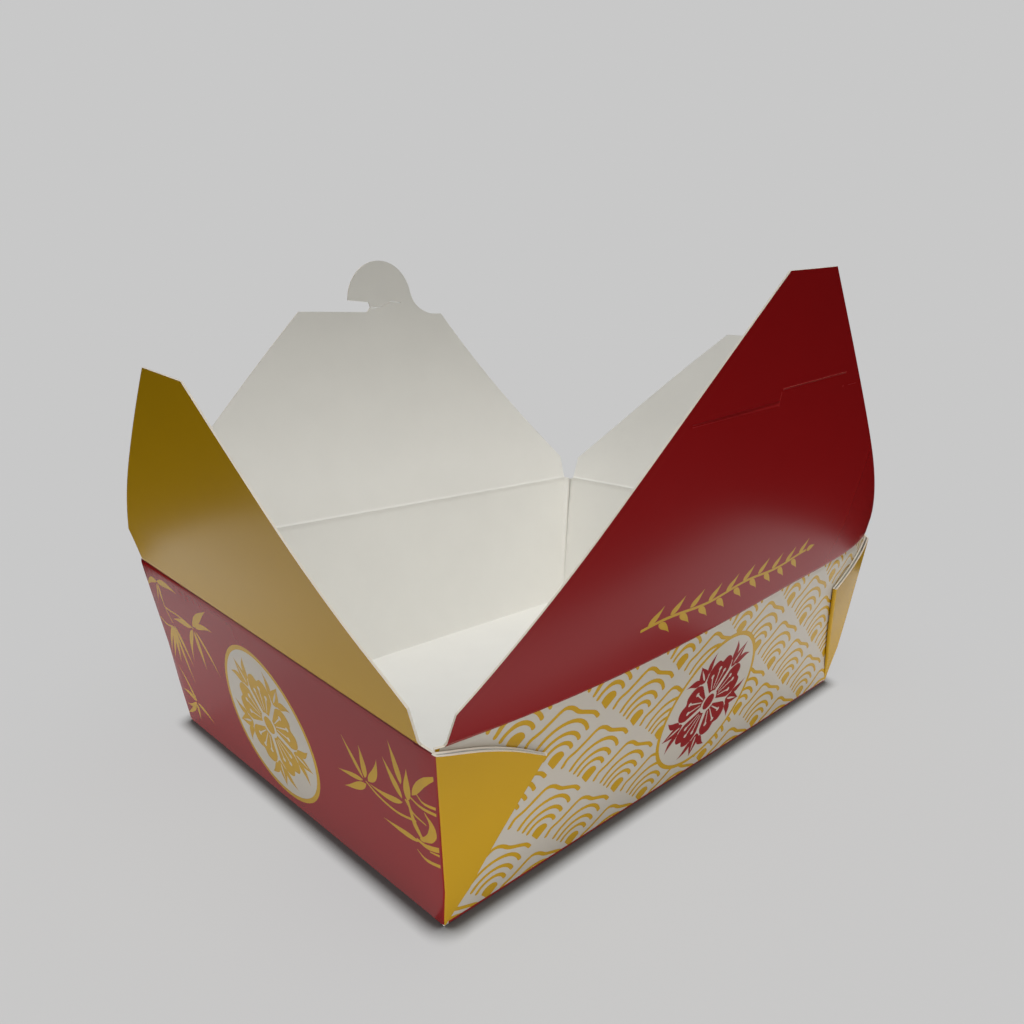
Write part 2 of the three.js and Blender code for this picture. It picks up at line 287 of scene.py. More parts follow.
class Wall:
    """One tray wall. Flat points are (x from its middle, y up its slope), shares run along it."""

    def __init__(self, name):
        self.start, self.end = SIDES[name]
        self.foot = base_corner(self.start), base_corner(self.end)
        self.past = 0.0 if name in ("front", "back") else WEB_STEP
        run = unit(self.foot[1] - self.foot[0]) * self.past
        self.foot = self.foot[0] - run, self.foot[1] + run
        _, _, length, _ = crease_frame(name)
        top = crease_points(name, np.linspace(0, length, RIM_POINTS))
        corners = [np.array(CORNER[self.start]), np.array(CORNER[self.end])]
        corners = [c + unit(c - end) * self.past for c, end in zip(corners, (top[0], top[-1]))]
        self.rim = np.vstack([corners[0], top, corners[1]])
        reach = np.r_[0, np.cumsum(np.linalg.norm(np.diff(self.rim, axis=0), axis=1))]
        self.base_length = np.linalg.norm(self.foot[1] - self.foot[0])
        self.rim_length = reach[-1]
        self.shares = reach / reach[-1]
        along = (self.foot[1] - self.foot[0]) / self.base_length
        self.inward = np.array([-along[1], along[0], 0])

    def crease_ends(self):
        """Flat lines up the wall to both ends of its fold line."""
        share = self.shares[1]
        lines = []
        for side in (share - 0.5, 0.5 - share):
            lines.append(((side * self.base_length, 0), (side * self.rim_length, WALL_HEIGHT)))
        return lines

    def length_at(self, y):
        """Length of the wall at heights up its slope."""
        return self.base_length + (self.rim_length - self.base_length) * np.clip(y / WALL_HEIGHT, 0, 1)

    def at(self, share, y):
        """Places on the middle of the board. Below 0, y runs inward along the base."""
        foot = self.foot[0] + (self.foot[1] - self.foot[0]) * share[:, None]
        top = np.stack([np.interp(share, self.shares, self.rim[:, k]) for k in range(3)], axis=-1)
        up = (top - foot) / WALL_HEIGHT
        t = np.clip((y + BASE_BEND) / (2 * BASE_BEND), 0, 1)
        inward = np.where(y < -BASE_BEND, -y, BASE_BEND * (1 - t) ** 2)
        upward = np.where(y > BASE_BEND, y, BASE_BEND * t**2)
        return foot + self.inward * inward[:, None] + up * upward[:, None]

    def place(self, xy):
        """Places of flat points."""
        return self.at(0.5 + xy[:, 0] / self.length_at(xy[:, 1]), xy[:, 1])

    def surface(self, xy):
        """Places and normals of flat points, with the groove at the fold."""
        return with_normals(self.place, xy, lambda at: groove(WALL_HEIGHT - at[:, 1], "wall"))


# ------------ meshes

PANEL_STEP = 5.0  # spacing of a panel's mesh
MERGE = 1e-3  # points closer than this become one


class Shells:
    """Closed shells gathered into one piece."""

    def __init__(self):
        self.places, self.faces, self.inks, self.normals, self.count = [], [], [], [], 0

    def add(self, places, faces, inks, normals):
        """Faces are lists of indices into places, each with an ink and one normal for each corner."""
        self.places.append(np.asarray(places, float))
        self.faces.extend([[int(i) + self.count for i in face] for face in faces])
        self.inks.extend(inks)
        self.normals.extend(normals)
        self.count += len(places)

    def piece(self, name, materials):
        """The mesh object, in metres."""
        mesh = bpy.data.meshes.new(name)
        mesh.from_pydata((np.vstack(self.places) * MM).tolist(), [], self.faces)
        slots = list(materials)
        for slot in slots:
            mesh.materials.append(materials[slot])
        mesh.polygons.foreach_set("material_index", [slots.index(ink) for ink in self.inks])
        mesh.polygons.foreach_set("use_smooth", [True] * len(self.faces))
        mesh.normals_split_custom_set([tuple(n) for face in self.normals for n in face])
        mesh.update()
        obj = bpy.data.objects.new(name, mesh)
        bpy.context.scene.collection.objects.link(obj)
        return obj


def triangulated(polygons, inks, lines, step):
    """Flat points, triangles and inks of the first polygon, with the others laid over it in order.
    The mesh has edges along the lines, and loose points inside it so that it bends evenly."""
    points, edges, faces = [], [], []
    for polygon in polygons:
        faces.append(list(range(len(points), len(points) + len(polygon))))
        points.extend(polygon)
    for start, end in lines:
        parts = math.ceil(math.dist(start, end) / step)
        edges.extend((len(points) + k, len(points) + k + 1) for k in range(parts))
        points.extend(np.linspace(start, end, parts + 1))
    low, high = polygons[0].min(axis=0), polygons[0].max(axis=0)
    for y in np.arange(low[1] + step, high[1], step):
        points.extend((x, y) for x in np.arange(low[0] + step / 2, high[0], step))
    flat, _, triangles, _, _, origins = delaunay_2d_cdt(
        [Vector(p) for p in points], edges, faces, 1, MERGE, True
    )
    kept = [(t, inks[max(o)]) for t, o in zip(triangles, origins) if 0 in o and inks[max(o)] is not None]
    used = sorted({i for t, _ in kept for i in t})
    index = {old: new for new, old in enumerate(used)}
    flat = np.array([flat[i] for i in used])
    turned = []
    for triangle, _ in kept:
        a, b, c = (index[i] for i in triangle)
        area = np.cross(flat[b] - flat[a], flat[c] - flat[a])
        turned.append([a, b, c] if area > 0 else [a, c, b])
    return flat, turned, [ink for _, ink in kept]


def print_panel(shells, surface, outline, fields, ground, rows=(), bends=(), step=PANEL_STEP):
    """Adds a board panel. Fields are (ink, outline) pairs laid over the ground in order, and an
    ink of None cuts the board through. The mesh has edges along the heights in rows and along the
    lines in bends, each from one point to another."""
    outline = refined(outline, step)
    polygons = [outline] + [np.asarray(p, float) for _, p in fields]
    inks = [ground] + [ink for ink, _ in fields]
    left, right = outline[:, 0].min() - step, outline[:, 0].max() + step
    lines = [((left, y), (right, y)) for y in rows]
    flat, triangles, inks = triangulated(polygons, inks, [*lines, *bends], step)
    place, normal = surface(flat)
    add_board(shells, place, normal, triangles, inks)


def add_board(shells, place, normal, faces, inks):
    """Adds a closed board from the faces of its middle surface, inked outside and plain inside."""
    count = len(place)
    outer, inner = place + normal * BOARD / 2, place - normal * BOARD / 2
    places = np.vstack([outer, inner])
    shell_faces, shell_inks, normals = [], [], []
    for face, ink in zip(faces, inks):
        shell_faces.append(face)
        shell_inks.append(ink)
        normals.append([normal[i] for i in face])
        back = face[::-1]
        shell_faces.append([i + count for i in back])
        shell_inks.append("inside")
        normals.append([-normal[i] for i in back])
    directed = {(f[k], f[(k + 1) % len(f)]) for f in faces for k in range(len(f))}
    for a, b in directed:
        if (b, a) in directed:
            continue
        side = unit(np.cross(place[b] - place[a], normal[a] + normal[b]))
        shell_faces.append([b, a, a + count, b + count])
        shell_inks.append("edge")
        normals.append([side] * 4)
    shells.add(places, shell_faces, shell_inks, normals)


# ------------ print

WAVE_PITCH = 32.0
WAVE_ROW = (17.3, -12.93)  # from a wave to the one below it on the right
WAVE_FIRST = (-76.5, 39.8)
WAVE_DRIFT = 0.00054  # growth of the pitch along the wall
WAVE_ROWS = range(-2, 5)
WAVE_DRAWN = 30.0  # pitch at which the wave below is drawn
WAVE_STROKE = 1.25
WAVE_SPREAD = 46.5  # half the angle between the two sides of a fan
WAVE_FOOT = {"radius": 2.75, "spread": 84, "middle": 0.78, "tip": ((0.2, -0.5), (-0.2, -0.5))}
WAVE_ARCS = ((5.1, 2.2), (7.5, 2.75), (9.8, 4.05))  # radius, height of the centre over the foot
WAVE_CREST = (
    (-12.6, 11.2), (-11.4, 13.4), (-8.6, 14.8), (-6.0, 16.7), (-2.6, 19.0),
    (0.4, 18.2), (3.2, 16.0), (6.6, 14.5), (9.6, 13.1), (11.5, 11.2),
)


def wave_fan():
    """Outlines of one wave: a filled foot, three arcs and a crest line, standing on (0, 0)."""
    turn = np.radians(np.linspace(-WAVE_FOOT["spread"], WAVE_FOOT["spread"], 12))
    foot = WAVE_FOOT["radius"] * np.c_[np.sin(turn), WAVE_FOOT["middle"] + np.cos(turn)]
    outlines = [np.vstack([foot, *WAVE_FOOT["tip"]])[::-1]]
    for radius, height in WAVE_ARCS:
        spread = math.radians(WAVE_SPREAD)
        open_angle = spread + math.asin(math.sin(spread) * height / radius)
        turn = np.linspace(-open_angle, open_angle, 15)
        arc = np.c_[radius * np.sin(turn), height + radius * np.cos(turn)]
        outlines.append(stroke(arc, WAVE_STROKE))
    outlines.append(stroke(smooth(WAVE_CREST, 3), WAVE_STROKE))
    return outlines


def wave_fields(half_length):
    """The wave print of a long wall."""
    fields = []
    fan = [outline * (WAVE_PITCH / WAVE_DRAWN, 1) for outline in wave_fan()]
    for row in WAVE_ROWS:
        y = WAVE_FIRST[1] + WAVE_ROW[1] * row
        shift = (WAVE_FIRST[0] + WAVE_ROW[0] * row) % WAVE_PITCH
        for x in np.arange(shift - 5 * WAVE_PITCH, half_length + WAVE_PITCH, WAVE_PITCH):
            if abs(x) >= half_length + 12:
                continue
            for outline in fan:
                along, up = (outline + (x, y)).T
                fields.append(("gold_ink", np.c_[along * (1 + WAVE_DRIFT * along), up]))
    return fields


def tapered(points, widths, parts):
    """A brush stroke through the points, as wide at each as given."""
    line = smooth(points, parts)
    return stroke(line, np.interp(np.linspace(0, 1, len(line)), np.linspace(0, 1, len(widths)), widths))


LEAF_FULL = 0.62  # below 1, a leaf is widest nearer its root
LEAF_POINT = 1.25  # above 1, its ends are pointed


def leaf(root, tip, width, bow=0.0):
    """A pointed leaf, bent to its left by bow."""
    t = np.linspace(0, 1, 13)
    across = width / 2 * np.sin(math.pi * t**LEAF_FULL) ** LEAF_POINT
    along = np.array(tip, float) - root
    side = np.array((-along[1], along[0])) / math.hypot(*along)
    middle = root + along * t[:, None] + side * (bow * math.hypot(*along) * np.sin(math.pi * t))[:, None]
    return np.vstack([middle - side * across[:, None], (middle + side * across[:, None])[-2:0:-1]])


def polar(radius, degrees):
    """The point at a radius and an angle from (0, 0)."""
    return radius * math.cos(math.radians(degrees)), radius * math.sin(math.radians(degrees))


# Roundels: centre, radius and ink of the blossom
MEDALS = {"long": ((-2.0, 29.5), 24.7, "red_ink"), "short": ((0.9, 28.6), 25.3, "gold_ink")}
MEDAL_RING = 1.5

# Blossom: five petals, each with three stamens, and between each two a leaf with a vein and two
# side leaves. Leaves are (radius of the root, radius of the tip, width). A turn is an angle off the
# middle line, and a side leaf or stamen has shares of it at its two ends.
PETALS = 5
PETAL = {"start": 1.5, "reach": 16.6, "spread": 32, "shoulder": 0.3, "notch": 1.5, "notch_width": 0.16}
MAIN_LEAF = (12.6, 22.3, 4.6)
MAIN_VEIN = (13.8, 20.6, 0.8)
SIDE_LEAF = {"root": 14.6, "tip": 21.6, "width": 2.6, "turn": 12, "shares": (0.7, 1.7), "bow": 0.12}
STAMENS = ((-17, 11.2), (0, 12.6), (17, 11.2))  # turn, reach
STAMEN = {"start": 5.0, "share": 0.7, "widths": (0.3, 0.6), "dot": 0.75}
HEART = {"plain": 4.1, "inked": 2.9}


def petal(angle):
    """A notched petal from the middle of the blossom, towards an angle in degrees."""
    t = np.linspace(-1, 1, 25)
    round_end = PETAL["reach"] * (1 - PETAL["shoulder"] * t**4)
    reach = round_end - PETAL["notch"] * np.exp(-((t / PETAL["notch_width"]) ** 2))
    edge = [polar(r, angle + PETAL["spread"] * s) for r, s in zip(reach, t)]
    return np.array([polar(PETAL["start"], angle), *edge])


def blossom():
    """A plum blossom among leaves, as (inked or plain, outline) pairs about (0, 0)."""
    shapes = []
    for k in range(PETALS):
        angle = 90 + k * 360 / PETALS
        between = angle + 180 / PETALS
        shapes.append((True, petal(angle)))
        for inked, (root, tip, width) in ((True, MAIN_LEAF), (False, MAIN_VEIN)):
            shapes.append((inked, leaf(polar(root, between), polar(tip, between), width)))
        for side in (-1, 1):
            near, far = (share * side * SIDE_LEAF["turn"] for share in SIDE_LEAF["shares"])
            root, tip = polar(SIDE_LEAF["root"], between + near), polar(SIDE_LEAF["tip"], between + far)
            shapes.append((True, leaf(root, tip, SIDE_LEAF["width"], -side * SIDE_LEAF["bow"])))
        for turn, reach in STAMENS:
            root = polar(STAMEN["start"], angle + STAMEN["share"] * turn)
            end = polar(reach, angle + turn)
            shapes.append((False, tapered([root, end], STAMEN["widths"], 6)))
            shapes.append((False, disc(end, STAMEN["dot"], 12)))
    shapes.append((False, disc((0, 0), HEART["plain"], 30)))
    shapes.append((True, disc((0, 0), HEART["inked"], 24)))
    return shapes


def medallion(kind):
    """A ringed roundel with a blossom on white."""
    centre, radius, ink = MEDALS[kind]
    fields = [("gold_ink", disc(centre, radius, 72)), ("white_ink", disc(centre, radius - MEDAL_RING, 72))]
    for inked, outline in blossom():
        fields.append((ink if inked else "white_ink", outline + np.array(centre)))
    return fields


# Bamboo on a short wall: leaves as (root, tip, width, bow), then stems and brush strokes as
# (points, widths). The first group is at the back end and the last runs over the front edge.
BAMBOO_LEAVES = (
    ((-66.5, 56.1), (-48.6, 56.5), 2.4, 0.04),
    ((-66.5, 56.1), (-79.0, 50.6), 2.2, -0.12),
    ((-66.8, 55.4), (-70.6, 47.6), 1.2, 0.0),
    ((-65.8, 55.4), (-65.2, 46.6), 1.7, -0.06),
    ((-41.4, 47.1), (-25.4, 57.3), 3.1, 0.03),
    ((-39.0, 47.4), (-24.3, 50.6), 2.0, 0.06),
    ((-42.3, 45.8), (-49.7, 31.6), 2.6, -0.09),
    ((-41.5, 45.5), (-39.3, 31.7), 2.7, 0.0),
    ((-40.4, 46.0), (-28.4, 32.9), 1.6, 0.05),
    ((-43.2, 46.2), (-59.5, 44.3), 2.2, -0.03),
    ((-62.4, 40.8), (-71.0, 27.4), 1.7, -0.05),
    ((-61.8, 40.8), (-69.4, 26.0), 2.1, 0.02),
    ((-61.2, 41.0), (-63.8, 26.0), 2.7, 0.0),
    ((-60.6, 41.4), (-51.9, 28.4), 2.4, 0.03),
    ((-60.8, 40.6), (-54.8, 20.5), 2.0, -0.04),
    ((-58.6, 12.4), (-63.8, 19.6), 1.6, 0.03),
    ((-58.8, 12.2), (-69.5, 13.6), 1.9, -0.05),
    ((-58.6, 12.6), (-69.0, 24.2), 1.3, -0.03),
    ((-59.4, 11.4), (-69.4, 7.6), 1.7, 0.1),
    ((-59.6, 11.0), (-72.4, 2.4), 1.7, 0.06),
    ((-59.2, 10.8), (-59.6, 4.2), 2.0, 0.0),
    ((-58.4, 11.6), (-47.0, 7.8), 1.6, 0.04),
    ((51.6, 36.6), (46.1, 47.5), 1.7, 0.0),
    ((52.5, 37.3), (53.9, 48.0), 2.3, -0.04),
    ((53.7, 36.9), (60.9, 47.3), 2.3, -0.07),
    ((51.2, 35.9), (39.1, 33.1), 1.6, 0.0),
    ((52.2, 35.2), (40.0, 28.1), 2.3, 0.03),
    ((67.8, 38.8), (53.4, 36.4), 1.9, 0.07),
    ((68.0, 40.0), (64.1, 50.0), 2.4, 0.0),
    ((69.2, 44.8), (68.7, 56.8), 2.2, -0.02),
    ((70.2, 40.8), (73.4, 51.5), 2.4, 0.0),
    ((72.8, 43.8), (86.6, 57.4), 2.0, 0.04),
    ((70.2, 28.4), (56.1, 27.2), 1.9, 0.02),
)
BAMBOO_STEMS = (
    (((-65.4, 48.6), (-64.6, 46.9), (-52.6, 47.2), (-41.6, 46.4)), (0.5, 0.6, 0.6, 0.6)),
    (((-65.2, 47.1), (-63.7, 44.8), (-61.3, 42.4)), (0.4, 0.6, 0.6)),
    (((-73.5, 40.8), (-68.4, 39.5), (-62.2, 40.4)), (0.6, 0.6, 0.6)),
    (((52.6, 36.2), (56.3, 34.4), (61.0, 33.5), (65.3, 33.7), (71.2, 35.4)), (0.5, 0.8, 0.8, 0.8, 0.7)),
    (((69.6, 40.4), (71.2, 37.7), (75.3, 36.8)), (0.9, 0.8, 0.4)),
    (((72.0, 42.6), (75.9, 41.9), (84.4, 43.9)), (0.6, 0.9, 0.9)),
    (((74.8, 45.4), (77.2, 43.9), (84.4, 46.2)), (0.4, 0.8, 0.8)),
    (((70.4, 40.8), (70.4, 36.4), (70.8, 33.2), (72.2, 30.2)), (0.7, 1.3, 2.0, 1.2)),
    (((76.2, 40.8), (77.5, 38.2), (76.9, 35.2), (74.8, 32.2), (71.6, 30.0)), (0.3, 1.5, 2.2, 2.0, 1.0)),
    (((69.9, 28.8), (73.8, 29.0), (82.4, 33.4)), (1.0, 1.5, 1.4)),
    (((68.4, 24.8), (71.6, 23.4), (80.0, 26.2)), (0.2, 1.1, 1.0)),
    (((74.0, 27.8), (80.0, 29.6)), (0.4, 1.0)),
)


def leaf_fields():
    """The bamboo print of a short wall."""
    leaves = [("gold_ink", leaf(np.array(root), *rest)) for root, *rest in BAMBOO_LEAVES]
    return leaves + [("gold_ink", tapered(*stem, 4)) for stem in BAMBOO_STEMS]


# Twig: a waving stem from a start to an end along the flap, with leaves on both sides
TWIG = {"start": 53.5, "end": 141, "height": 10.4, "wave": 0.5, "wave_run": 6.2, "width": 0.75}
TWIG_LEAF = {"root": 1.1, "tip": 7.8, "width": 1.9, "turn": 33, "bow": 0.066}
TWIG_END_LEAF = ((0.8, 0), (6.5, 0.6), 1.8)


def twig_band():
    """A leafy twig along the lower part of the front flap."""
    x = np.linspace(TWIG["start"], TWIG["end"], 60)
    line = np.c_[x, TWIG["height"] + TWIG["wave"] * np.sin((x - TWIG["start"]) / TWIG["wave_run"])]
    fields = [("gold_ink", stroke(line, TWIG["width"]))]
    for k in range(1, 58, 3):
        side = 1 if k % 2 else -1
        root, tip = (line[k] + polar(TWIG_LEAF[end], side * TWIG_LEAF["turn"]) for end in ("root", "tip"))
        fields.append(("gold_ink", leaf(root, tip, TWIG_LEAF["width"], -side * TWIG_LEAF["bow"])))
    root, tip, width = TWIG_END_LEAF
    return [*fields, ("gold_ink", leaf(line[-1] + root, line[-1] + tip, width))]


# ------------ tray


def wall_outline(wall):
    """Flat outline of a wall, from just inside the base to the fold, short of its corners."""
    long_wall = wall.start in ("near", "far")
    margin = CORNER_MARGIN["host" if long_wall else "source"]
    knee = WEB_FULL * WALL_HEIGHT
    inset = 2 * BASE_BEND
    half_base = wall.base_length / 2 - wall.past
    half_knee = wall.length_at(knee) / 2 - margin
    half_rim = wall.rim_length / 2 - margin
    low = [(half_base - inset, -inset), (half_base - margin, 0)]
    right = [*low, (half_knee, knee), (half_rim, WALL_HEIGHT)]
    return right + [(-x, y) for x, y in reversed(right)]


# Heights of the mesh rows round the bend at a wall's foot and in the grooves at its fold
BEND_ROWS = (-0.5, -0.25, 0.01, 0.25, 0.5)
GROOVE_ROWS = tuple(WALL_HEIGHT - d for d in (0.2, 0.4, 0.65, 0.95, 1.4))
FLAP_GROOVE_ROWS = (0.2, 0.4, 0.65, 0.95, 1.4, 2.2)
BLEED = {"below": -3, "right": 0.7, "left": 1.3}  # heights of the base's red on the long walls
PRINT_PAST = 5  # the print runs so far past a wall's ends, and the outline cuts it


def add_wall(shells, name):
    """Adds a wall with its print."""
    wall = Wall(name)
    half = wall.rim_length / 2 + PRINT_PAST
    if name in ("front", "back"):
        below = BLEED["below"]
        bleed = [(-half, below), (half, below), (half, BLEED["right"]), (-half, BLEED["left"])]
        fields = [*wave_fields(half), ("red_ink", bleed), *medallion("long")]
        ground = "white_ink"
    else:
        # painted shade: a darker red strip just under the fold at the top of the wall, standing in for the
        # crease's shadow
        low = WALL_HEIGHT - CREASE_SHADE_WIDTH
        crease = [(-half, low), (half, low), (half, WALL_HEIGHT + 1), (-half, WALL_HEIGHT + 1)]
        fields = [*leaf_fields(), *medallion("short"), ("painted_crease_shade", crease)]
        ground = "red_ink"
    rows = BEND_ROWS + GROOVE_ROWS
    print_panel(shells, wall.surface, wall_outline(wall), fields, ground, rows, wall.crease_ends())


def add_base(shells):
    """The flat bottom between the bends of the walls."""
    inset = 2 * BASE_BEND
    half = np.array([BASE_LENGTH / 2 - inset, BASE_WIDTH / 2 - inset])

    def surface(xy):
        place = np.c_[-xy[:, 0], xy[:, 1], np.full(len(xy), BOARD / 2)]
        return place, np.tile((0.0, 0.0, -1.0), (len(xy), 1))

    outline = [(-half[0], -half[1]), (half[0], -half[1]), (half[0], half[1]), (-half[0], half[1])]
    print_panel(shells, surface, outline, [], "red_ink", step=12.0)


def web_rows():
    """Shares of the height where the rows of a corner web lie, closer near its foot."""
    return np.r_[0, np.geomspace(0.012, 0.25, 9), np.linspace(0.32, 1, 11)]


class WebSection:
    """The folded board round a corner, cut at share r of its height. A row of it is a place on the
    middle of the board, its outer normal and its ink."""

    def __init__(self, corner, r):
        self.host = Wall("front" if corner in ("near", "right") else "back")
        self.source = Wall("left" if corner in ("near", "left") else "right")
        self.web, self.r, self.at_start = WEBS[corner], r, self.host.start == corner
        self.height = r * WALL_HEIGHT
        self.full = min(1.0, r / WEB_FULL)
        self.reach = self.web["reach"] * self.host.rim_length * r
        self.post = self.on(self.host, 0, self.height)
        self.along = unit(self.on(self.host, WEB_SIGHT, self.height) - self.post)
        up = self.on(self.host, 0, self.height + 1.0) - self.on(self.host, 0, self.height - 1.0)
        turn = 1 if self.at_start else -1
        self.out = unit(np.cross(self.along, up)) * turn
        margin = CORNER_MARGIN["source"] + WEB_STEP * (1 - self.full)
        self.begin = self.on(self.source, margin, self.height)
        self.source_run = unit(self.begin - self.on(self.source, margin + self.web["run"], self.height))
        self.source_out = unit(np.cross(self.source_run, up) * turn)

    def on(self, wall, distance, height):
        """Place on either wall at a distance from the corner."""
        share = distance / wall.length_at(height)
        from_start = self.at_start == (wall is self.host)
        return wall.at(np.array([share if from_start else 1 - share]), np.array([height]))[0]

    def layer(self, c, off, belly=0.0):
        """Place at share c of the web's reach, off the wall by so many millimetres."""
        arch = math.sin(math.pi * c)
        height = self.height * (1 + (self.web["tip"] - 1) * c) + self.web["hump"] * arch * self.r**3
        share = c * self.r * self.web["reach"]
        point = self.host.at(np.array([share if self.at_start else 1 - share]), np.array([height]))[0]
        lift = self.web["lift"] * c * self.r + belly * arch * self.r
        return point + self.out * (off * self.full + lift)

    def outer_off(self, c):
        """Distance of the outer layer from the wall."""
        apart = self.web["roll"] * min(1, 2 * self.r)
        return 2 * WEB_LAYER + apart + self.web["open"] * (1 - c) * self.r

    def outer(self, c):
        """Place on the outer layer at share c."""
        return self.layer(c, self.outer_off(c), self.web["belly"])

    def bend(self, free):
        """Rows round the edge where the short wall and the outer layer meet."""
        start = self.outer(free)
        run = unit(self.outer(2 * free) - start)
        across = self.out - run * (self.out @ run)
        ahead = ((start - self.begin) @ across) / (self.source_run @ across)
        knee = self.begin + self.source_run * ahead
        run = unit(start - knee)
        size = min(WEB_BEND["most"], WEB_BEND["share"] * self.reach)
        rows = []
        for k in range(5):
            s = k / 4
            point = knee - self.source_run * size * (1 - s) ** 2 + run * size * s**2
            normal = unit(self.source_out * (1 - s) + self.out * s)
            rows.append((point, normal, "red_ink" if k < 2 else "gold_ink"))
        return rows

    def fold(self):
        """Rows round the fold between the outer and the inner layer."""
        middle = (self.layer(1, self.outer_off(1)) + self.layer(1, WEB_LAYER)) / 2
        radius = (self.outer_off(1) - WEB_LAYER) / 2 * self.full
        rows = []
        for angle in np.linspace(0, math.pi, 7)[1:-1]:
            side = self.out * math.cos(angle) + self.along * math.sin(angle)
            rows.append((middle + side * radius, side, "gold_ink"))
        return rows

    def root(self, turn_at):
        """Rows round the turn from the inner layer into the long wall."""
        centre = self.layer(turn_at, WEB_LAYER / 2) if self.r > 0 else self.post
        rows = []
        for angle in np.linspace(0, math.pi, 6)[1:]:
            side = self.out * math.cos(angle) - self.along * math.sin(angle)
            rows.append((centre + side * WEB_LAYER / 2 * self.full, -side, "white_ink"))
        return rows

    def rows(self):
        """All rows, from the short wall round both layers to the long wall."""
        free = min(0.35, self.web["free"] / max(self.reach, 1e-6))
        turn_at = min(WEB_TURN * self.full / self.reach, 0.9) if self.reach > 0 else 0
        return [
            (self.begin, self.source_out, "red_ink"),
            *self.bend(free),
            *((self.outer(c), self.out, "gold_ink") for c in np.linspace(free, 1, 12)),
            *self.fold(),
            *((self.layer(c, WEB_LAYER), -self.out, "gold_ink") for c in np.linspace(1, turn_at, 13)),
            *self.root(turn_at),
            (self.on(self.host, CORNER_MARGIN["host"], self.height), self.out, "white_ink"),
        ]


def add_web(shells, corner):
    """Adds the folded board round a corner, as a grid of its sections."""
    at_start = corner in ("near", "far")
    sections = [WebSection(corner, r).rows() for r in web_rows()]
    if not at_start:
        sections = [section[::-1] for section in sections]
    rows, columns = len(sections), len(sections[0])
    place = np.array([p for section in sections for p, _, _ in section])
    normal = np.array([n for section in sections for _, n, _ in section])
    faces, inks = [], []
    for i in range(rows - 1):
        for j in range(columns - 1):
            a = i * columns + j
            faces.append([a, a + 1, a + columns + 1, a + columns])
            inks.append(sections[i][j if at_start else j + 1][2])
    add_board(shells, place, normal, faces, inks)


BEAD_INSET = 3.0  # distance of a bead's ends from the ends of its fold line


def add_bead(shells, name):
    """Adds the rolled board in a fold line, which fills the gap when the flap turns."""
    _, along, length, out = crease_frame(name)
    centres = crease_points(name, np.linspace(BEAD_INSET, length - BEAD_INSET, 40))
    centres = centres - out * GROOVE_DEPTH
    sides = []
    for angle in np.linspace(0, 2 * math.pi, 10, endpoint=False):
        sides.append(out * math.cos(angle) + np.cross(out, along) * math.sin(angle))
    count = len(sides)
    places = [centre + side * BEAD_RADIUS for centre in centres for side in sides]
    faces, inks, normals = [], [], []
    for i in range(len(centres) - 1):
        for j in range(count):
            k = (j + 1) % count
            faces.append([i * count + j, i * count + k, (i + 1) * count + k, (i + 1) * count + j])
            # the outer half of the bead takes the painted crease shade, the inner half the plain inside
            inks.append("inside" if (sides[j] + sides[k]) @ out < 0 else "painted_crease_shade")
            normals.append([sides[j], sides[k], sides[k], sides[j]])
    last = (len(centres) - 1) * count
    for end, facing in ((list(range(count))[::-1], -along), ([last + j for j in range(count)], along)):
        faces.append(end)
        inks.append("edge")
        normals.append([facing] * count)
    shells.add(places, faces, inks, normals)


def make_tray(materials):
    """The base, walls, webs and beads as one piece."""
    shells = Shells()
    add_base(shells)
    for name in SIDES:
        add_wall(shells, name)
    for corner in CORNER:
        add_web(shells, corner)
    for name in ("left", "right", "back"):
        add_bead(shells, name)
    tray = shells.piece("tray_board", materials)
    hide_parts("tray")
    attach(tray, "tray")


# ------------ flaps

TAB_HEAD = {"centre": (102.9, 88.0), "radius": 16.3, "start": -0.02, "end": 2.88}
TAB_HOOK = ((109.8, 83.2), (108.2, 85.2), (109.0, 87.3))
TAB_FOOT = (75.4, 83.5)
TAB_HOLLOW = (84.6, 84.9)
TAB_CUT = ((108.0, 85.0), (104.8, 85.2), (101.9, 86.0), (99.4, 87.2), (97.1, 88.0), (92.3, 87.6))
TAB_CUT_WIDTH = 0.22
SLOT = ((102.7, 62.6), (141.4, 64.9))
SLOT_WIDTH = 0.03
LIP = 0.18  # torn edge of the slot, on its upper side
SCORE = ((62.0, 56.4), (101.6, 58.7))
SCORE_JOG = ((101.9, 58.5), (102.1, 61.8))
NICKS = ((141.4, 60.9), (141.5, 64.9), (102.7, 62.6), (101.8, 58.5))
NICK_RADIUS = 0.28
SCRATCH = ((145.0, 61.1), (150.7, 61.4))
# The dark marks are painted shade in the score's groove and under the cut, the light mark on the score is
# a painted highlight, and the last light mark is a scratch.
SLOT_MARKS = (  # ink, line, distance to the line's left, width or widths
    ("painted_score_and_slot_shade", SCORE, 0.5, (0.3, 1.0)),
    ("painted_highlight_and_scratch", SCORE, 0.0, (0.2, 0.6)),
    ("painted_score_and_slot_shade", SLOT, -0.22, 0.3),
    ("torn_red", SLOT, LIP / 2, LIP),
    ("torn_red", SCORE_JOG, 0.0, 0.2),
    ("painted_highlight_and_scratch", SCRATCH, 0.0, 0.09),
)


def tab_outline():
    """Outline of the mushroom tab, from the hook round the head to the foot of its hollow."""
    turn = np.linspace(TAB_HEAD["start"], TAB_HEAD["end"], 26)
    centre = np.array(TAB_HEAD["centre"])
    head = centre + TAB_HEAD["radius"] * np.c_[np.cos(turn), np.sin(turn)]
    t = np.linspace(0, 1, 9)[1:, None]
    hollow = head[-1] * (1 - t) ** 2 + 2 * np.array(TAB_HOLLOW) * t * (1 - t) + np.array(TAB_FOOT) * t**2
    return [*TAB_HOOK, *head, *hollow]


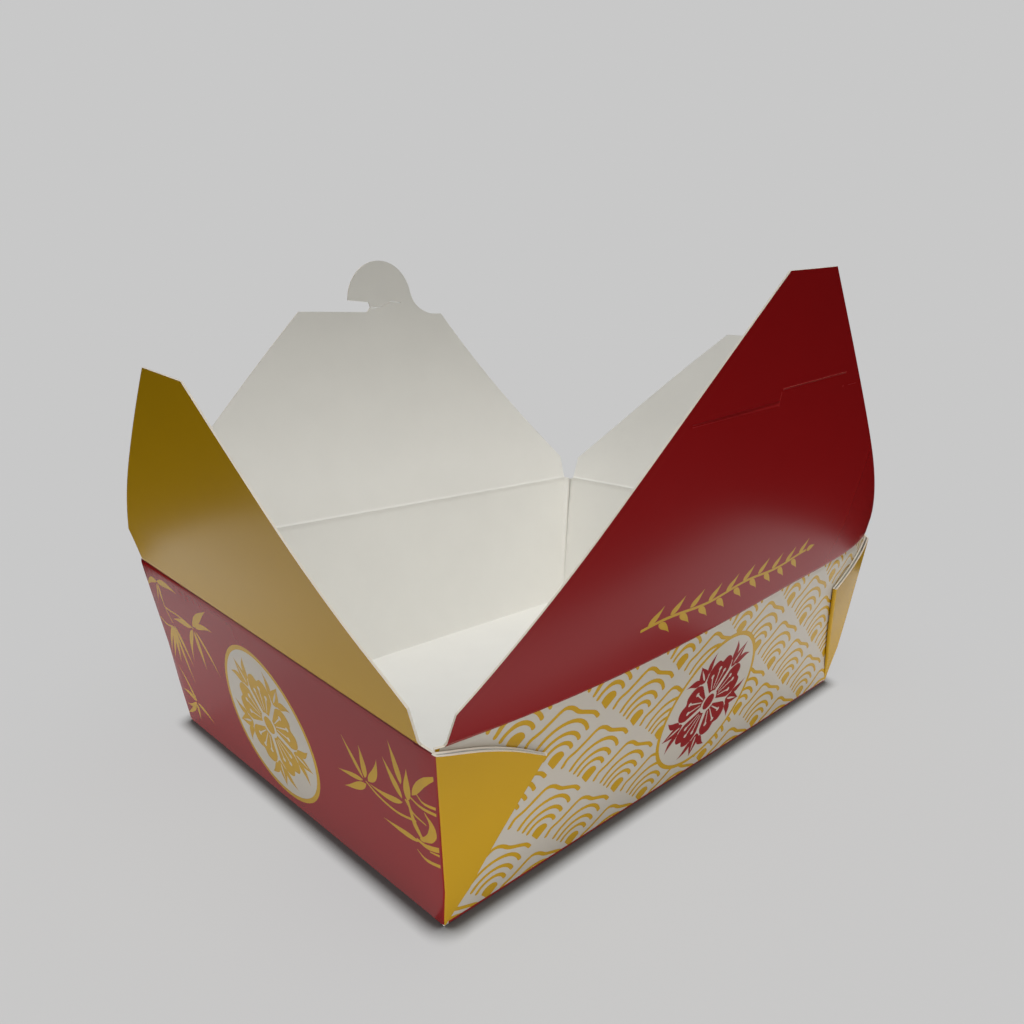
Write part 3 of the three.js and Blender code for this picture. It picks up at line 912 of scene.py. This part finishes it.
def flap_outline(name):
    """Flat outline of a flap from its fold line up."""
    _, _, length, _ = crease_frame(name)
    foot = FLAPS[name]["foot"]
    left, right = FLAPS[name]["neck"]
    tip_left, tip_right = FLAPS[name]["tip"]
    top = tab_outline() if name == "back" else []
    neck_right = (length - right[0], right[1])
    return [(foot[0], 0), (length - foot[1], 0), neck_right, tip_right, *top, tip_left, left]


def shifted(line, across):
    """The line moved to its left."""
    (ax, ay), (bx, by) = line
    run = math.dist(*line)
    dx, dy = -(by - ay) / run * across, (bx - ax) / run * across
    return (ax + dx, ay + dy), (bx + dx, by + dy)


def slot_fields():
    """The cut that takes the tab, its torn upper lip, and the scored line that leads to it, with painted
    shade in the score's groove and under the cut, and a painted highlight on the score.
    """
    marks = [(ink, stroke(shifted(line, across), width, 2)) for ink, line, across, width in SLOT_MARKS]
    nicks = [("torn_red", disc(place, NICK_RADIUS, 10)) for place in NICKS]
    return [*marks, *nicks, (None, stroke(SLOT, SLOT_WIDTH, 2))]


def flap_fields(name):
    """The print and cuts of a flap, with the painted shade and highlight at the front flap's score and
    slot.
    """
    if name == "front":
        return [*twig_band(), *slot_fields()]
    if name == "back":
        return [(None, stroke(smooth(TAB_CUT, 4), TAB_CUT_WIDTH, 2))]
    return []


def make_flap(name, materials):
    """A flap as one piece. Each flap but the front one is attached to its body and turns with it."""
    shells, colour = Shells(), FLAPS[name]["colour"]
    surface, outline, fields = flap_surface(name), flap_outline(name), flap_fields(name)
    print_panel(shells, surface, outline, fields, f"{colour}_ink", FLAP_GROOVE_ROWS)
    flap = shells.piece(f"{name}_flap_board", materials)
    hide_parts(f"flap_{name}")
    if name == "front":
        _, _, length, _ = crease_frame(name)
        start = Vector(crease_points(name, np.array([length / 2]))[0]) * MM
        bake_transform(flap)
    else:
        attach(flap, f"{name}_flap")


# ------------ materials

CLOUDS_PER_METRE = 60
SHEEN_SPREAD = 0.06  # the roughness varies by this share to both sides
FIBRE_STRENGTH = 0.6


def linear(colour):
    """Linear colour of screen values from 0 to 255."""
    shares = (value / 255 for value in colour)
    return [v / 12.92 if v <= 0.04045 else ((v + 0.055) / 1.055) ** 2.4 for v in shares]


def set_range(node, low, high, to_low, to_high):
    """Sets a Map Range node to take low..high to to_low..to_high."""
    for socket, value in zip(("From Min", "From Max", "To Min", "To Max"), (low, high, to_low, to_high)):
        node.inputs[socket].default_value = value


def board_material(name, colour, roughness, specular, mottle, grain, fibre=0.0):
    """Printed or plain board: mottled by a share of its colour, with a grain and a relief of fibres
    given in millimetres."""
    material = bpy.data.materials.new(name)
    material.use_nodes = True
    tree = material.node_tree
    shader = tree.nodes["Principled BSDF"]
    shader.inputs["Specular IOR Level"].default_value = specular
    link = tree.links.new
    where = tree.nodes.new("ShaderNodeTexCoord")

    cloud = tree.nodes.new("ShaderNodeTexNoise")
    cloud.inputs["Scale"].default_value = CLOUDS_PER_METRE
    cloud.inputs["Detail"].default_value = 6
    link(where.outputs["Object"], cloud.inputs["Vector"])
    fine = tree.nodes.new("ShaderNodeTexNoise")
    fine.inputs["Scale"].default_value = 1 / (grain * MM)
    fine.inputs["Detail"].default_value = 3
    link(where.outputs["Object"], fine.inputs["Vector"])

    ramp = tree.nodes.new("ShaderNodeMapRange")
    set_range(ramp, 0.3, 0.7, 1 - mottle, 1 + mottle)
    link(cloud.outputs["Fac"], ramp.inputs["Value"])
    tint = tree.nodes.new("ShaderNodeVectorMath")
    tint.operation = "SCALE"
    tint.inputs[0].default_value = linear(colour)
    link(ramp.outputs["Result"], tint.inputs["Scale"])
    link(tint.outputs["Vector"], shader.inputs["Base Color"])

    rough = tree.nodes.new("ShaderNodeMapRange")
    set_range(rough, 0, 1, roughness * (1 - SHEEN_SPREAD), roughness * (1 + SHEEN_SPREAD))
    link(fine.outputs["Fac"], rough.inputs["Value"])
    link(rough.outputs["Result"], shader.inputs["Roughness"])

    if fibre:
        bump = tree.nodes.new("ShaderNodeBump")
        bump.inputs["Strength"].default_value = FIBRE_STRENGTH
        bump.inputs["Distance"].default_value = fibre * MM
        link(fine.outputs["Fac"], bump.inputs["Height"])
        link(bump.outputs["Normal"], shader.inputs["Normal"])
    return material


INK_SURFACE = {"mottle": 0.012, "grain": 2.0}
INKS = {  # colour, roughness, specular level
    "red_ink": ((143, 20, 22), 0.255, 0.5),
    "gold_ink": ((195, 151, 16), 0.255, 0.5),
    "white_ink": ((196, 188, 176), 0.3, 0.5),
    # painted shade: a darker red where the folds lie in shadow
    "painted_crease_shade": ((112, 16, 14), 0.5, 0.2),
    "torn_red": ((176, 50, 46), 0.6, 0.2),
    # painted highlight and painted shade of the score and the slot; the light ink also draws a scratch
    "painted_highlight_and_scratch": ((158, 30, 32), 0.3, 0.5),
    "painted_score_and_slot_shade": ((133, 18, 20), 0.3, 0.5),
}


PLAIN = {  # name, colour, roughness, specular level, mottle, grain, fibre
    "inside": ("board_inside", (235, 234, 229), 0.7, 0.3, 0.012, 0.6, 0.01),
    "edge": ("board_edge", (226, 218, 204), 0.85, 0.2, 0.05, 0.4, 0.02),
}


def make_materials():
    """All inks by name, and the plain inside and cut edge of the board."""
    materials = {name: board_material(name, *look, **INK_SURFACE) for name, look in INKS.items()}
    materials.update({side: board_material(*look) for side, look in PLAIN.items()})
    return materials


# ------------ studio

GREY = 0.578  # screen value 200
FLOOR_GLOW = 0.488  # the part of the floor's brightness that is light of its own
FLOOR_ALBEDO = 0.12
FLOOR_REACH = 60000.0  # the floor runs to the horizon
CONTACT_REACH = 6.0  # distance over which the floor's glow is dimmed under the box: a painted contact shadow
KEY = {"elevation": 51.0, "heading": 238.0, "spread": 70.0, "share": 0.57, "colour": (1.0, 0.965, 0.9)}
TOP = {"elevation": 88.0, "heading": 228.0, "spread": 90.0, "share": 0.43, "colour": (1.0, 1.04, 1.12)}

# Sheets of the lit table: two corners, height, strength, and how far it is shaded under the box.
# The first lights the sides. They mirror the other two, of which the last is a dim strip.
TABLE_SHEETS = {
    "table_bounce": ((-215.0, -215.0), (215.0, 215.0), -0.5, 1.5, 45.0),
    "table_mirror": ((-300.0, -190.0), (255.0, 235.0), -0.6, 0.43, 80.0),
    "front_shade": ((-125.0, -140.0), (70.0, -66.0), -0.55, 0.05, 0.0),
}


def make_camera():
    """The camera of the photograph."""
    yaw, pitch, roll = (math.radians(a) for a in (CAMERA_YAW, CAMERA_PITCH, CAMERA_ROLL))
    camera = bpy.data.objects.new("camera", bpy.data.cameras.new("camera"))
    bpy.context.scene.collection.objects.link(camera)
    place = Matrix.Translation(Vector(CAMERA_PLACE) * MM)
    aim = Matrix.Rotation(-yaw, 4, "Z") @ Matrix.Rotation(math.pi / 2 + pitch, 4, "X")
    camera.matrix_world = place @ aim @ Matrix.Rotation(roll, 4, "Z")
    camera.data.lens = CAMERA_LENS
    camera.data.sensor_width = 36
    camera.data.clip_start, camera.data.clip_end = 0.01, 100
    bpy.context.scene.camera = camera


def stage_sheet(name, low, high, z, material):
    """A flat rectangle of the studio, in millimetres."""
    mesh = bpy.data.meshes.new(name)
    corners = [(low[0], low[1], z), (high[0], low[1], z), (high[0], high[1], z), (low[0], high[1], z)]
    mesh.from_pydata([Vector(p) * MM for p in corners], [], [(0, 1, 2, 3)])
    mesh.materials.append(material)
    sheet = bpy.data.objects.new(name, mesh)
    bpy.context.scene.collection.objects.link(sheet)
    return sheet


def shade_under(tree, socket, reach, samples, span):
    """Links a socket to a value that falls under whatever stands within reach. Span is the range of
    the openness to the sky and the range of the value."""
    # the shade is painted: an occlusion node dims the value, no shadow is cast
    covered = tree.nodes.new("ShaderNodeAmbientOcclusion")
    covered.samples = samples
    covered.inputs["Distance"].default_value = reach * MM
    dim = tree.nodes.new("ShaderNodeMapRange")
    set_range(dim, *span)
    tree.links.new(covered.outputs["AO"], dim.inputs["Value"])
    tree.links.new(dim.outputs["Result"], socket)


def glow(name, strength, shade):
    """A plain light. With shade, it is dimmer within that distance under whatever stands on it."""
    material = bpy.data.materials.new(name)
    material.use_nodes = True
    tree = material.node_tree
    tree.nodes.clear()
    emission = tree.nodes.new("ShaderNodeEmission")
    emission.inputs["Strength"].default_value = strength
    if shade:
        shade_under(tree, emission.inputs["Strength"], shade, 8, (0.3, 1, 0.3 * strength, strength))
    output = tree.nodes.new("ShaderNodeOutputMaterial")
    tree.links.new(emission.outputs["Emission"], output.inputs["Surface"])
    return material


def floor_paper():
    """Matt pale paper that glows of its own, with a painted contact shadow: its glow dims where something
    stands on it.
    """
    paper = bpy.data.materials.new("floor_paper")
    paper.use_nodes = True
    tree = paper.node_tree
    shader = tree.nodes["Principled BSDF"]
    shader.inputs["Base Color"].default_value = (FLOOR_ALBEDO, FLOOR_ALBEDO, FLOOR_ALBEDO, 1)
    shader.inputs["Roughness"].default_value = 1
    shader.inputs["Specular IOR Level"].default_value = 0
    shader.inputs["Emission Color"].default_value = (1, 1, 1, 1)
    # painted contact shadow: the floor's glow dims near whatever stands on it
    shade_under(tree, shader.inputs["Emission Strength"], CONTACT_REACH, 16, (0.5, 0.97, 0, FLOOR_GLOW))
    return paper


def make_studio():
    """A grey sky, a pale floor, the light that a table throws back and two soft suns."""
    scene = bpy.context.scene
    scene.view_settings.view_transform = "Standard"
    world = bpy.data.worlds.new("studio")
    world.use_nodes = True
    tree = world.node_tree
    seen = tree.nodes.new("ShaderNodeLightPath")
    sky = tree.nodes["Background"]
    sky.inputs["Color"].default_value = (GREY, GREY, GREY, 1)
    tree.links.new(seen.outputs["Is Camera Ray"], sky.inputs["Strength"])
    scene.world = world

    wide = FLOOR_REACH
    floor = stage_sheet("floor", (-wide, -wide), (wide, wide), 0, floor_paper())
    floor.visible_diffuse = floor.visible_glossy = floor.visible_shadow = False
    for name, (low, high, height, strength, shade) in TABLE_SHEETS.items():
        sheet = stage_sheet(name, low, high, height, glow(name, strength, shade))
        sheet.visible_camera = sheet.visible_shadow = False
        sheet.visible_diffuse = name == "table_bounce"
        sheet.visible_glossy = name != "table_bounce"

    make_sun("key", **KEY)
    make_sun("top", **TOP)


def make_sun(name, elevation, heading, spread, share, colour):
    """A wide soft light that gives its share of the light on the floor."""
    sun = bpy.data.objects.new(name, bpy.data.lights.new(name, "SUN"))
    rise, turn = math.radians(elevation), math.radians(heading)
    sun.data.energy = math.pi * share * (GREY - FLOOR_GLOW) / FLOOR_ALBEDO / math.sin(rise)
    sun.data.angle = math.radians(spread)
    sun.data.color = colour
    toward = Vector((math.cos(turn), math.sin(turn), math.tan(rise)))
    sun.rotation_euler = toward.to_track_quat("Z", "Y").to_euler()
    bpy.context.scene.collection.objects.link(sun)


# ------------ build

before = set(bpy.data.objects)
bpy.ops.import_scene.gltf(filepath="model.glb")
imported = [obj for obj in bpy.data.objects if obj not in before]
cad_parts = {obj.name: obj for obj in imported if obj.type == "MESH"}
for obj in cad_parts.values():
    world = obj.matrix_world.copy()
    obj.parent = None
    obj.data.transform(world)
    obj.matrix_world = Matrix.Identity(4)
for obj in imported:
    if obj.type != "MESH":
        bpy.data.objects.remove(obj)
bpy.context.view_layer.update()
make_camera()
make_studio()
MATERIALS = make_materials()
make_tray(MATERIALS)
for side in FLAPS:
    make_flap(side, MATERIALS)
